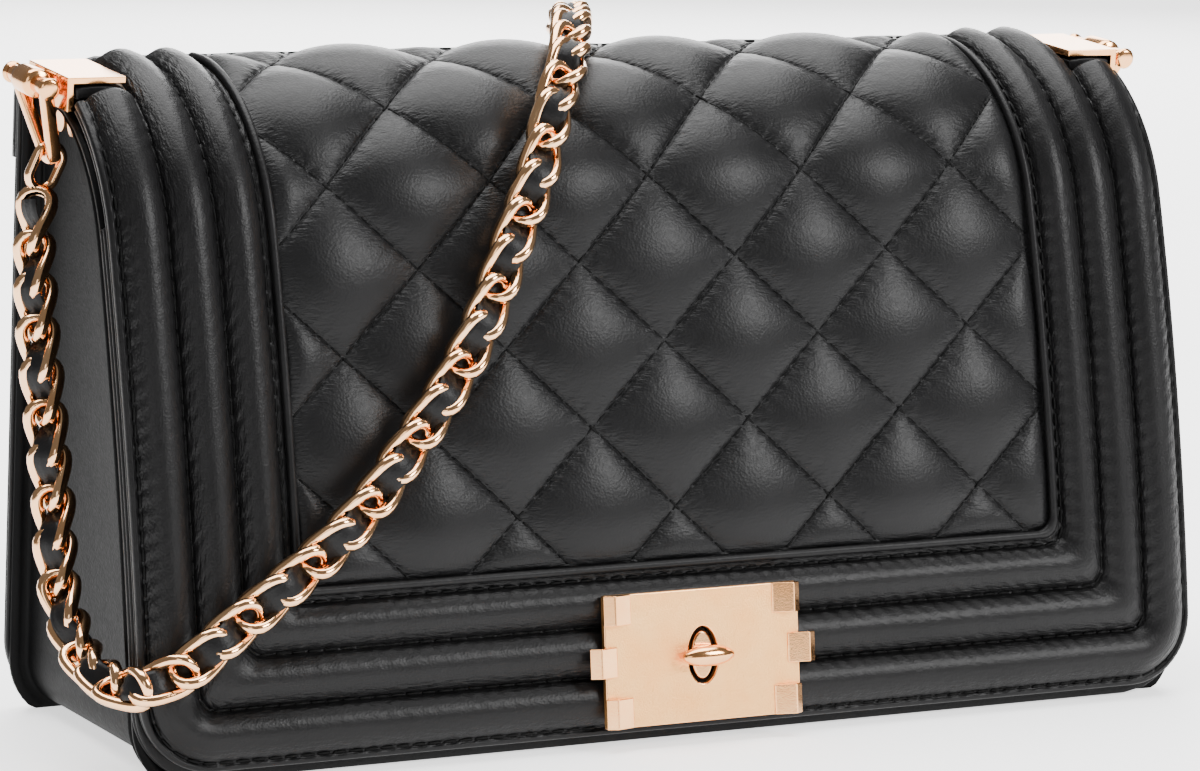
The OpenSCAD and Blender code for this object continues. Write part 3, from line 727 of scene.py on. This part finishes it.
def hinge_leather():
    profile = yoke_profile()
    grow = np.clip((profile[:, 0] - YOKE_Y[1]) / 1.2, 0, 1)
    half = YOKE_HALF + (HALF_W - 0.4 - YOKE_HALF) * grow
    t = np.linspace(-1, 1, 80)
    x = half[:, None] * t[None]
    ripple = 0.12 * np.sin(x * 0.31) * np.sin(profile[:, :1] * 0.5)
    lower = 2.4 * np.clip((np.abs(x) - 115.5) / 2.5, 0, 1)
    lower = lower * np.clip((profile[:, 1:] - 128) / 14, 0, 1)
    points = np.stack([x, np.broadcast_to(profile[:, :1], x.shape),
                       np.broadcast_to(profile[:, 1:], x.shape) + ripple - lower], -1)
    run = run_length(profile[:, 0], profile[:, 1])
    uv = np.stack([x, np.broadcast_to(run[:, None], x.shape)], -1)
    near = np.exp(-np.abs(run - 2.2) / 1.5) + np.exp(-np.abs(run[-1] - run - 2.5) / 1.5)
    obj = piece("hinge_leather", points, grid_faces(*x.shape), LEATHER_SEWN, "leather_smooth", uv,
                np.broadcast_to(near[:, None], x.shape))
    solid(obj, 1.4, 0.0, -1.0, False)
    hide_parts("hinge_strip")
    hinge_blend(obj)
    line = np.linspace(-1, 1, 200)[:, None]
    rows = []
    for along, reach, up in ((2.2, 114.5, (0, 0, 1)), (run[-1] - 2.5, HALF_W - 3, (0, 1, 0))):
        y, z = (np.interp(along, run, profile[:, k]) for k in (0, 1))
        path = np.hstack([line * reach, np.full_like(line, y), np.full_like(line, z)])
        ups = np.broadcast_to(np.array(up, float), path.shape)
        rows.append(row_on(path + 0.1 * ups, ups))
    obj = capsules("hinge_stitches", *[np.vstack(part) for part in zip(*rows)], "leather_smooth")
    hinge_blend(obj)


def lock_oval(grow, notched=False):
    """Where a layer has no leather: at the lock, and under the brackets if notched."""
    def without_leather(x, s):
        notch = notched & (np.abs(x) > NOTCH_X) & (s > notch_s - 0.4)
        return in_lock_hole(x, s, grow) | notch
    return without_leather


def flap_underside():
    size = (HALF_W - 2.6, CORNER_R - 2.6, FLAP_START + 2.6, 181.0)
    cloth_piece = leather_panel("flap_lining_cloth", lambda x, s: skin(x, s, 0.95), size, 0.7,
                                *CLOTH, lock_oval(0.3, True))
    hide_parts("flap_lining")
    hinge_blend(cloth_piece)
    size = (HALF_W - 3.2, CORNER_R - 3, FLAP_START + 3.2, 170.0)
    stiffener = leather_panel("flap_stiffener", lambda x, s: skin(x, s, 2.3), size, 1.2,
                              BOARD, "stiff_board", lock_oval(0.1, True))
    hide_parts("flap_core")
    hinge_blend(stiffener)


hinge_leather()
flap_underside()


# ---------------------------------------------------------------- body
PANEL_T = 2.5
GUSSET_X = 125.5
GUSSET_R = 12.0
FLANGE = 3.9
FLOOR_GAP = 0.12
BRACKET_Y = -3.0
BRACKET_TILT = math.radians(4.2)


def front_y(z, d):
    """Front-to-back place of the front at height z, at distance d outside it."""
    curve = skin(0, np.linspace(-5, BEND_END, 400), d)
    return np.interp(z, curve[:, 2], curve[:, 1])


def band_path(half, corner, base, top, straight=40, arc=12, across=60):
    """Points (x, z) with outward normals: down the left side, over the base and up the right."""
    z = np.linspace(top, base + corner, straight, endpoint=False)
    turn = np.linspace(0, math.pi / 2, arc, endpoint=False)
    flat = np.linspace(-half + corner, 0, across // 2)
    x = np.concatenate([np.full_like(z, -half), -half + corner - corner * np.cos(turn), flat])
    h = np.concatenate([z, base + corner - corner * np.sin(turn), np.full_like(flat, base)])
    nx = np.concatenate([np.full_like(z, -1), -np.cos(turn), np.zeros_like(flat)])
    nz = np.concatenate([np.zeros_like(z), -np.sin(turn), np.full_like(flat, -1)])
    mirrored = lambda v, sign: np.concatenate([v, sign * v[-2::-1]])
    return mirrored(x, -1), mirrored(h, 1), mirrored(nx, -1), mirrored(nz, 1)


def band(name, size, columns, sag, material, slot, thickness, inside):
    """A strip between the two panels, of size (half width, corner radius, base, top).

    columns are (share of the way across, shift, flange).
    """
    base = size[2]
    x, z, nx, nz = band_path(*size)
    share, shift, flange = np.array(columns, float).T
    low, high = front_y(z, -inside)[:, None], back_y(z, -inside)[:, None]
    y = low + (high - low) * share + shift
    upright = np.clip((z - base) / 60, 0, 1)[:, None]
    bow = flange - sag * upright * np.sin(math.pi * share) ** 0.8
    points = np.stack([x[:, None] + nx[:, None] * bow, y, z[:, None] + nz[:, None] * bow], -1)
    points[..., 2] = np.maximum(points[..., 2], FLOOR_GAP)
    run = run_length(x, z)[:, None]
    uv = np.stack([np.broadcast_to(run, y.shape), y], -1)
    seam = np.broadcast_to(np.exp(-np.minimum(share, 1 - share) * 30) * 0.5, y.shape)
    obj = piece(name, points, grid_faces(*y.shape), material, slot, uv, seam)
    return solid(obj, thickness, 0.0, -1.0, False)


def on_back(d):
    """Places points on the back, at distance d outside it."""
    return lambda x, z: np.stack([x, back_y(z, d), z], -1)


def body_shell():
    layers = (("leather", -0.6, 0.15), ("board", -1.9, 0.0))
    for word, d, inset in layers:
        hole = lock_oval(0.3) if word == "leather" else None
        size = (HALF_W - inset, CORNER_R, 0.3, LOWER_LEN + 3)
        obj = leather_panel(f"front_panel_{word}", lambda x, s: skin(x, s, d), size, 1.1,
                            *SMOOTH, hole)
        join(obj, "body", "front_panel")
    for word, d, inset in layers:
        size = (HALF_W - inset, CORNER_R, 0.3, BODY_H)
        obj = leather_panel(f"back_panel_{word}", on_back(d), size, 1.1, *SMOOTH, flip=True)
        join(obj, "body", "back_panel")
    # From the front: two round welts, the plain middle, and a flange turned out along the back.
    welts = [(0, 1.45, FLANGE)]
    for start in (1.5, 4.2):
        for a in np.linspace(0.1, 3.0, 9):
            welts.append((0, start + 1.25 - 1.25 * math.cos(a), 0.6 + 2.6 * math.sin(a)))
        welts.append((0, start + 2.6, 0.3))
    middle = [(t, 7.2 * (1 - t), 0) for t in np.linspace(0.02, 0.94, 24)]
    flange = [(1, -2.8, 0.0), (1, -1.9, 0.2), (1, -1.55, 0.8), (1, -1.45, 2.0), (1, -1.45, FLANGE)]
    # The gussets take the darker leather copy, which paints shade on them
    obj = band("gusset_leather", (GUSSET_X, GUSSET_R, 0.1, BODY_H - 2.0), welts + middle + flange,
               1.6, SHADED_SIDE_LEATHER, "leather_smooth", 1.2, PANEL_T)
    join(obj, "body", "left_gusset", "right_gusset", "base_panel")


def bracket_seat(side, word):
    """Leather end of the body's top, which the bracket plate is clamped over."""
    y = np.linspace(-2.6, 22.0, 12)
    x = np.linspace(118.0, 129.2, 8)
    grid_x, grid_y = np.meshgrid(x, y)
    crown = 0.5 * ((grid_x - 123.6) / 5.6) ** 2
    z = BODY_H + 0.9 + (grid_y - BRACKET_Y) * math.tan(BRACKET_TILT) - crown
    points = np.stack([side * grid_x, grid_y, z], -1)
    obj = piece(f"gusset_top_{word}", points, grid_faces(*z.shape), *SMOOTH, flip=side < 0)
    solid(obj, 2.6, 0.5)
    join(obj, "body", f"{word}_gusset")


def body_stitches():
    """A stitch row round the lower three sides of the back."""
    x, z = band_path(HALF_W - 2.6, CORNER_R - 2.6, 2.9, YOKE_LOW - 1)[:2]
    back = on_back(0.05)(x, z)
    ups = np.broadcast_to(np.array([0, 1.0, math.tan(BACK_LEAN)]), back.shape)
    obj = capsules("back_stitches", *row_on(back, ups), "leather_smooth")
    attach(obj, "body")


def body_lining():
    inner_half, d = 122.6, -2.95
    front = leather_panel("lining_front_cloth", lambda x, s: skin(x, s, d),
                          (inner_half, 13.0, 6.0, LOWER_LEN - 2), 0.6, *CLOTH)
    back = leather_panel("lining_back_cloth", on_back(d), (inner_half, 13.0, 6.0, BODY_H - 5), 0.6,
                         *CLOTH, flip=True)
    columns = [(t, 0, 0) for t in np.linspace(0, 1, 20)]
    sides = band("lining_gusset_cloth", (123.2, 13.5, 4.6, LOWER_Z + 5), columns, -0.6,
                 *CLOTH, 0.6, 3.4)
    for obj, node, flat in (
        (front, "lining_front", (2 * inner_half * MM, (LOWER_LEN - 8) * MM)),
        (back, "lining_back", (2 * inner_half * MM, (BODY_H - 11) * MM)),
        (sides, "lining_gusset", (0.46, 0.07)),
    ):
        join(obj, "body", node)


def slip_pocket():
    """Patch pocket with a turned hem, a little slack at its mouth."""
    half, low, high, gap = 65.0, 51.0, 126.0, 5.8
    v = np.linspace(low, high, 40)
    inside = np.linspace(-half + 1.5, half - 1.5, 50)
    across = np.concatenate([[-half, -half + 0.4], inside, [half - 0.4, half]])
    x, z = np.meshgrid(across, v, indexing="xy")
    lift = gap * (1 - np.clip((np.abs(x) - half + 3) / 3, 0, 1) ** 2)
    lift = lift * np.clip((z - low) / 3, 0.1, 1)
    slack = 0.35 * np.sin(x * 0.09) * np.clip((z - low) / 60, 0, 1)
    y = back_y(z, -3.5) - lift - slack
    points = np.stack([x, y, z], -1)
    obj = piece("slip_pocket_cloth", points, grid_faces(*x.shape), *CLOTH, np.stack([x, z], -1))
    solid(obj, 0.7, 0.2, 0.0)
    join(obj, "body", "slip_pocket")


body_shell()
bracket_seat(-1, "left")
bracket_seat(1, "right")
body_stitches()
body_lining()
slip_pocket()


# ---------------------------------------------------------------- metalwork
def prism(name, outline, low, high, place, material, slot, bevel, hole=None):
    """A plate between two levels with bevelled edges, and a hole if an outline for one is given."""
    outer = np.asarray(outline, float)
    n = len(outer)
    loops = [outer] if hole is None else [outer, np.asarray(hole, float)]
    points = np.vstack([
        np.hstack([loop, np.full((n, 1), level)]) for level in (high, low) for loop in loops
    ])
    k = np.arange(n)
    nxt = (k + 1) % n
    if hole is None:
        faces = [list(k), list(k[::-1] + n)] + [[a, a + n, b + n, b] for a, b in zip(k, nxt)]
    else:
        faces = [[a, b, b + n, a + n] for a, b in zip(k, nxt)]
        faces += [[b + 2 * n, a + 2 * n, a + 3 * n, b + 3 * n] for a, b in zip(k, nxt)]
        faces += [[a, a + 2 * n, b + 2 * n, b] for a, b in zip(k, nxt)]
        faces += [[b + n, b + 3 * n, a + 3 * n, a + n] for a, b in zip(k, nxt)]
    faces = [[int(i) for i in face] for face in faces]
    obj = new_object(name, place(points), faces, material, smooth=False)
    round_edges(obj, bevel, 30).harden_normals = True
    return obj


def box_outline(x0, x1, y0, y1):
    return [(x0, y0), (x1, y0), (x1, y1), (x0, y1)]


def sweep(name, path, section, ups, material, slot, closed=False):
    """Sweeps a closed section (side, up) along a path."""
    path = np.asarray(path, float)
    if closed:
        along = unit(np.roll(path, -1, 0) - np.roll(path, 1, 0))
    else:
        along = unit(np.gradient(path, axis=0))
    ups = np.broadcast_to(np.asarray(ups, float), path.shape)
    up = unit(ups - (ups * along).sum(-1, keepdims=True) * along)
    side = np.cross(along, up)
    section = np.asarray(section, float)
    if section.ndim == 2:
        section = np.broadcast_to(section, (len(path), *section.shape))
    points = path[:, None] + section[..., :1] * side[:, None] + section[..., 1:] * up[:, None]
    n, m = len(path), section.shape[1]
    faces = (grid_faces(n + 1, m, True) % (n * m) if closed else grid_faces(n, m, True)).tolist()
    if not closed:
        faces += [list(range(m))[::-1], list(range((n - 1) * m, n * m))]
    return new_object(name, points, faces, material)


def round_section(a, b, sides=16, power=1.0):
    t = np.linspace(0, 2 * math.pi, sides, endpoint=False)
    c, s = np.cos(t), np.sin(t)
    return np.stack([a * np.sign(c) * np.abs(c) ** power, b * np.sign(s) * np.abs(s) ** power], -1)


# Turn lock: its frame lies on the front at the lock's centre, with d square to the front.
LOCK_MID = skin(0, LOCK_S, 0)
LOCK_LEAN = float(lean(LOCK_S))
PLATE_D = 7.1
PLATE_T = 1.6
PLATE_HALF = (24.0, 14.6)
STUD = 6.6
STUD_H = 1.4
STUD_OUT = 3.6         # how far the middle studs stand out at the sides
TOGGLE_HALF = 6.3
TOGGLE_R = 2.3


def at_lock(points):
    """From (across, up the front, out of the front) to the row frame."""
    x, v, d = np.moveaxis(np.asarray(points, float), -1, 0)
    c, s = math.cos(LOCK_LEAN), math.sin(LOCK_LEAN)
    return LOCK_MID + np.stack([x, v * s - d * c, v * c + d * s], -1)


def stud(name, x, v):
    """A square stud whose face slopes from a ridge down to both sides."""
    h, r = STUD / 2, 0.5
    peak = STUD_H + 0.5
    profile = [(-h, 0), (-h, 0.35), (-h + r, 0.6), (-0.15, peak), (0.15, peak), (h - r, 0.6), (h, 0.35),
               (h, 0)]
    tilt = -0.7 if x < 0 else 0.7
    profile = [(a + tilt * b, b) for a, b in profile]
    face = PLATE_D + PLATE_T
    place = lambda p: at_lock(np.stack([p[:, 0] + x, p[:, 2] + v, p[:, 1] + face], -1))
    obj = prism(name, profile[::-1], -h, h, place, *POLISHED, 0.28)
    join(obj, "flap", "lock_studs")


def lock():
    half_w, half_h = PLATE_HALF
    n = 64
    t = np.linspace(0, 2 * math.pi, n, endpoint=False) + math.pi / n
    hole = np.stack([HOLE[0] * np.cos(t), HOLE[1] * np.sin(t)], -1)
    reach = 1 / np.maximum(np.abs(np.cos(t)) / half_w, np.abs(np.sin(t)) / half_h)
    outer = np.stack([reach * np.cos(t), reach * np.sin(t)], -1)
    for across in (-half_w, half_w):
        for up in (-half_h, half_h):
            outer[np.argmin(np.hypot(*(outer - [across, up]).T))] = (across, up)
    plate = prism("lock_plate_gold", outer, PLATE_D, PLATE_D + PLATE_T, at_lock, GOLD_SATIN,
                  "gold_satin", 0.3, hole)
    plate.data.materials.append(GOLD)
    plate.modifiers["rounding"].material = 1
    join(plate, "flap", "lock_plate")
    for side in (-1, 1):
        x = side * (half_w - STUD / 2)
        for level in (-1, 1):
            stud(f"lock_stud_{side + 1}_{level + 1}", x, level * (half_h - STUD / 2))
        stud(f"lock_stud_{side + 1}_middle", x + side * STUD_OUT, 0)
    boss_top = PLATE_D + PLATE_T - 0.2
    boss = prism("turnlock_boss", round_section(2.7, 5.3, 48), -0.9, boss_top, at_lock, *POLISHED, 0.5)
    foot = prism("turnlock_flange", round_section(6.0, 9.0, 48), -1.0, -0.1, at_lock, STEEL,
                 "gold_polished", 0.3)
    for obj in (boss, foot):
        join(obj, "body", "turnlock_base")
    # Toggle: a torpedo with a small button at each end, on a waisted neck.
    reach = np.linspace(-1, 1, 41)
    radius = TOGGLE_R * np.clip(1 - np.abs(reach) ** 2.4, 0, 1) ** 0.6
    knob = 0.75 * np.sqrt(np.clip(1 - ((np.abs(reach) - 0.955) / 0.045) ** 2, 0, 1))
    radius = np.maximum(radius, knob) + 0.02
    level = np.full_like(reach, boss_top + 0.4 + TOGGLE_R)
    path = at_lock(np.stack([TOGGLE_HALF * reach, 0 * reach, level], -1))
    up = at_lock([0, 0, 1]) - at_lock([0, 0, 0])
    toggle = sweep("turnlock_toggle_gold", path, radius[:, None, None] * round_section(1, 1, 20), up,
                   *POLISHED)
    neck_d = np.linspace(boss_top - 2, boss_top + 2.0, 9)
    path = at_lock(np.stack([0 * neck_d, 0 * neck_d, neck_d], -1))
    neck = sweep("turnlock_neck", path, round_section(1.5, 1.5), (1, 0, 0), *POLISHED)
    for obj in (toggle, neck):
        join(obj, "toggle", "turnlock_toggle")


BRACKET_TOP = BODY_H + 2.8
BRACKET_W, BRACKET_LEN, BRACKET_T = 12.2, 24.0, 1.5
SKIRT = 7.4            # height of the bracket's outer skirt
LEG_X = 121.95         # inner face of the bracket's leg
RING = (134.5, 13.0, -2.6)
RING_LEAN = math.radians(16)
RING_H = 17.5
LINK_LEAN = math.radians(24)
LINK_BEND, LINK_STRAIGHT, LINK_R = 2.9, 4.0, 1.1


def at_bracket(side):
    """From (out, back from the front edge, up from the top face) to the row frame."""
    c, s = math.cos(BRACKET_TILT), math.sin(BRACKET_TILT)

    def place(points):
        x, y, z = np.moveaxis(np.asarray(points, float), -1, 0)
        return np.stack([side * x, BRACKET_Y + y * c - z * s, BRACKET_TOP + y * s + z * c], -1)
    return place


def at_ring(side):
    c, s = math.cos(RING_LEAN), math.sin(RING_LEAN)
    outer = at_bracket(side)

    def place(points):
        x, y, z = np.moveaxis(np.asarray(points, float), -1, 0)
        return outer(np.stack([x * c + z * s, y, -x * s + z * c], -1) + RING)
    return place


def bracket(side, word):
    place = at_bracket(side)
    inner_x, outer_x = HALF_W - BRACKET_W, HALF_W + 1
    profile = [(inner_x, -BRACKET_T), (inner_x, 0), (outer_x, 0), (outer_x, -SKIRT),
               (outer_x - BRACKET_T, -SKIRT), (outer_x - BRACKET_T, -BRACKET_T)]
    turned = lambda p: place(np.stack([p[:, 0], p[:, 2], p[:, 1]], -1))
    plate = prism(f"bracket_plate_{word}", profile if side > 0 else profile[::-1], 0, BRACKET_LEN, turned,
                  *POLISHED, 0.22)
    leg_outline = box_outline(RING[1] - 6, RING[1] + 6, -16.0, -0.8)
    upright = lambda p: place(np.stack([p[:, 2], p[:, 0], p[:, 1]], -1))
    leg = prism(f"bracket_leg_{word}", leg_outline, LEG_X, LEG_X + BRACKET_T, upright, *POLISHED, 0.3)
    knuckle_y = RING[1] + np.array([-4.5, -4.1, -3, 0, 3, 4.1, 4.5])
    swell = np.array([2.75, 3.1, 3.2, 3.2, 3.2, 3.1, 2.75])
    path = place(np.stack([0 * knuckle_y + RING[0], knuckle_y, 0 * knuckle_y + RING[2]], -1))
    knuckle = sweep(f"bracket_knuckle_{word}", path, swell[:, None, None] * round_section(1, 1, 24),
                    (0, 0, 1), *POLISHED)
    web_outline = box_outline(HALF_W - 0.2, RING[0] - 2.2, RING[1] - 4.4, RING[1] + 4.4)
    web = prism(f"bracket_web_{word}", web_outline, -3.6, -1.6, place, *POLISHED, 0.3)
    for obj in (plate, leg, knuckle, web):
        join(obj, "body", f"bracket_{word}")


def ring(side, word):
    place = at_ring(side)
    # Bar: round, with a groove and a ball at each end.
    half = [(9, 1.9), (10.0, 1.95), (10.3, 1.8), (10.5, 1.95), (10.8, 2.3), (11.3, 2.45), (11.8, 2.1),
            (12.0, 1.5)]
    y, r = np.array([(-y, r) for y, r in half[::-1]] + [(0, 1.9)] + half).T
    bar = sweep(f"ring_bar_{word}", place(np.stack([0 * y, y, 0 * y], -1)),
                r[:, None, None] * round_section(1, 1, 24), (0, 0, 1), *POLISHED)
    # Legs: a flat bevelled strip bent to a rounded V, wider at the tip.
    foot, tip, share = 8.9, 2.5, 0.22
    t = np.linspace(-1, 1, 61)
    up = (np.abs(t) - share) / (1 - share)
    drop = -RING_H * (1 - np.clip(up, 0, 1))
    width = np.where(up > 0, tip + (foot - tip) * up, tip * np.abs(t) / share)
    eased = np.convolve(np.pad(drop, 4, "edge"), np.ones(9) / 9, "valid")
    shape = np.stack([0 * t, width * np.sign(t), eased], -1)
    section = round_section(1.35, 1.5, 16, 0.6)
    legs = sweep(f"ring_legs_{word}", place(shape), section, place([1, 0, 0]) - place([0, 0, 0]), *POLISHED)
    # End link: a long closed loop that hangs in the tip.
    turn = np.linspace(0, 2 * math.pi, 48, endpoint=False)
    x = LINK_BEND * np.cos(turn)
    z = LINK_BEND * np.sin(turn) + np.where(np.sin(turn) < 0, -LINK_STRAIGHT, 0)
    z = z + 1.5 - LINK_BEND + LINK_R + 0.05
    c, s = math.cos(-RING_LEAN - LINK_LEAN), math.sin(-RING_LEAN - LINK_LEAN)
    turned = np.stack([x * c + z * s, 0 * turn, -x * s + z * c - RING_H], -1)
    normal = place([0, 1, 0]) - place([0, 0, 0])
    link = sweep(f"end_link_loop_{word}", place(turned), round_section(LINK_R, LINK_R, 12), normal,
                 GOLD_CHAIN, "gold_polished", True)
    for obj, node in ((bar, "d_ring"), (legs, "d_ring"), (link, "end_link")):
        join(obj, f"ring_{word}", f"{node}_{word}")


lock()
for side, word in ((-1, "left"), (1, "right")):
    bracket(side, word)
    ring(side, word)

# Hidden metal and board parts keep their exact CAD shapes, with finished materials.
for node, material in (("bracket_rivets", GOLD), ("turnlock_backplate", STEEL), ("lock_back_washer", STEEL),
                       ("base_board", BOARD)):
    for slot_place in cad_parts[node].material_slots:
        slot_place.material = material


# ---------------------------------------------------------------- floor and light
def stage_and_light():
    size = 6.0
    floor = bpy.data.meshes.new("floor")
    corners = [(-size, -size, 0), (size, -size, 0), (size, size, 0), (-size, size, 0)]
    floor.from_pydata(corners, [], [(0, 1, 2, 3)])
    look = Look("floor")
    look.colour(look.noise(3, 2), (0.93, 0.93, 0.93), (0.96, 0.96, 0.96))
    set_inputs(look.shader, Roughness=0.8, Emission_Color=(1, 1, 1, 1), Emission_Strength=1.3)
    floor.materials.append(look.material)
    obj = bpy.data.objects.new("floor", floor)
    bpy.context.collection.objects.link(obj)
    world = bpy.data.worlds.new("studio")
    world.use_nodes = True
    set_inputs(world.node_tree.nodes["Background"], Color=(1, 1, 1, 1), Strength=0.2)
    bpy.context.scene.world = world
    for name, place, size_m, power in (
        ("key", (1.0, -1.3, 1.0), 0.7, 34),
        ("fill", (-1.1, -1.5, 0.5), 0.6, 3),
        ("back", (0.82, 1.62, 0.72), 0.9, 22),
        ("top", (0.1, 0.5, 2.3), 2.6, 175),
    ):
        data = bpy.data.lights.new(name, "AREA")
        data.shape = "SQUARE"
        data.size = size_m
        data.energy = power
        light = bpy.data.objects.new(name, data)
        light.location = place
        aim = Vector((0, 0, 0.07)) - Vector(place)
        light.rotation_euler = aim.to_track_quat("-Z", "Y").to_euler()
        bpy.context.collection.objects.link(light)


stage_and_light()
